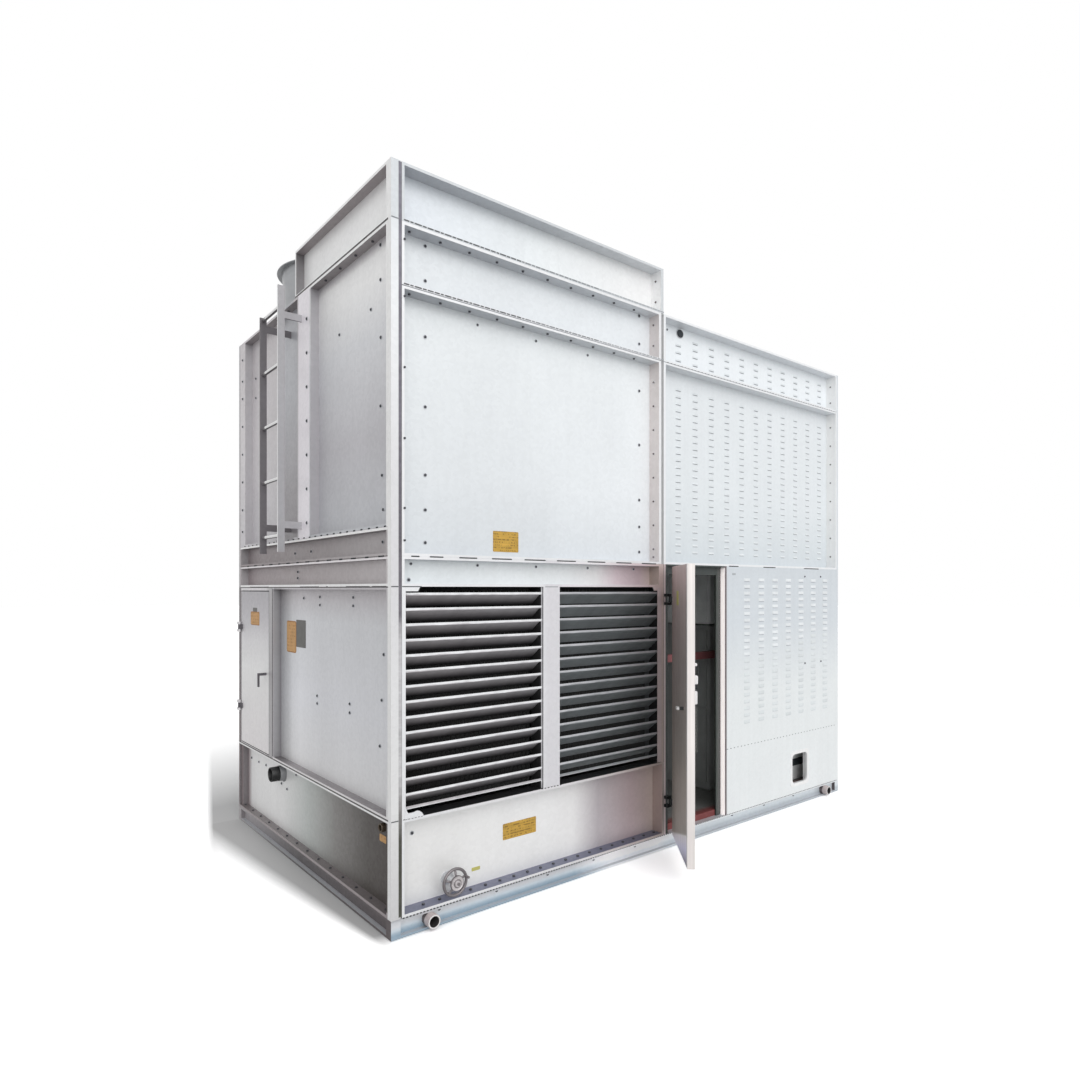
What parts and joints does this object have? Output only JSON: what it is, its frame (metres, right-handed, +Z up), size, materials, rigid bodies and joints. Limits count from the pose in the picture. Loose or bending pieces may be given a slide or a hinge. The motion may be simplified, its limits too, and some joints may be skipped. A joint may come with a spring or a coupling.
{
  "type": "cooling tower",
  "caption": "Factory built evaporative cooling tower: louvred intake, open inlet rim, fan deck, ladder and an attached machine room with a hinged door.",
  "frame": {"origin": "middle of the footprint, on the ground", "axes": "+X along the long front from the tower to the machine room, +Y from the front to the back, +Z up"},
  "size_m": [4.14, 2.8546, 3.78],
  "materials": {
    "galvanised": "satin",
    "pale_sheet": "satin",
    "dark_sheet": "matt",
    "black_plastic": "matt",
    "black_steel": "satin",
    "grey_steel": "satin",
    "fan_grey": "satin",
    "brass": "worn",
    "red_floor": "matt",
    "red_steel": "satin"
  },
  "bodies": {
    "plant": {"base_frame": "galvanised", "basin": "galvanised", "corner_post_front_left": "galvanised", "corner_post_back_left": "galvanised", "room_post_front": "pale_sheet", "room_post_back": "pale_sheet", "louvre_surround": "galvanised", "louvre_bank_left": "dark_sheet", "louvre_bank_right": "dark_sheet", "tower_front_panel": "galvanised", "end_lower_panel": "galvanised", "end_band": "galvanised", "end_upper_panel_front": "galvanised", "end_upper_panel_back": "galvanised", "end_stiffener": "galvanised", "end_door_frame": "galvanised", "tower_back_lower": "galvanised", "tower_back_upper": "galvanised", "partition_wall": "galvanised", "coil_back_wall": "galvanised", "inlet_rim": "galvanised", "coil_bundle": "dark_sheet", "spray_pipes": "black_plastic", "fan_deck": "galvanised", "fan_stack_left": "galvanised", "fan_stack_right": "galvanised", "fan_left": "fan_grey", "fan_right": "fan_grey", "fan_drive_left": "fan_grey", "fan_drive_right": "fan_grey", "room_front_lower": "pale_sheet", "room_front_upper": "pale_sheet", "door_jamb": "pale_sheet", "room_end_wall": "pale_sheet", "room_back_wall": "pale_sheet", "room_roof": "pale_sheet", "room_floor": "red_floor", "room_cross_bar": "red_steel", "room_door_hinge_lower": "black_steel", "room_door_hinge_upper": "black_steel", "access_door_hinge_lower": "black_steel", "access_door_hinge_upper": "black_steel", "ladder": "galvanised", "valve_body": "brass", "overflow_stub": "black_plastic", "drain_stub": "brass"},
    "room_door": {"room_door": "pale_sheet"},
    "access_door": {"access_door": "galvanised"},
    "handwheel": {"handwheel": "grey_steel"}
  },
  "joints": [
    {"name": "room_door_hinge", "type": "hinge", "parent": "plant", "child": "room_door", "pos_m": [-0.073, -1.182, 0.9], "axis": [0, 0, 1], "range_deg": [-21, 131]},
    {"name": "access_door_hinge", "type": "hinge", "parent": "plant", "child": "access_door", "pos_m": [-2.014, 1.106, 1.05], "axis": [0, 0, -1], "range_deg": [0, 110]},
    {"name": "handwheel_turn", "type": "hinge", "parent": "plant", "child": "handwheel", "pos_m": [-1.65, -1.16, 0.188], "axis": [0, -1, 0], "continuous": true}
  ]
}
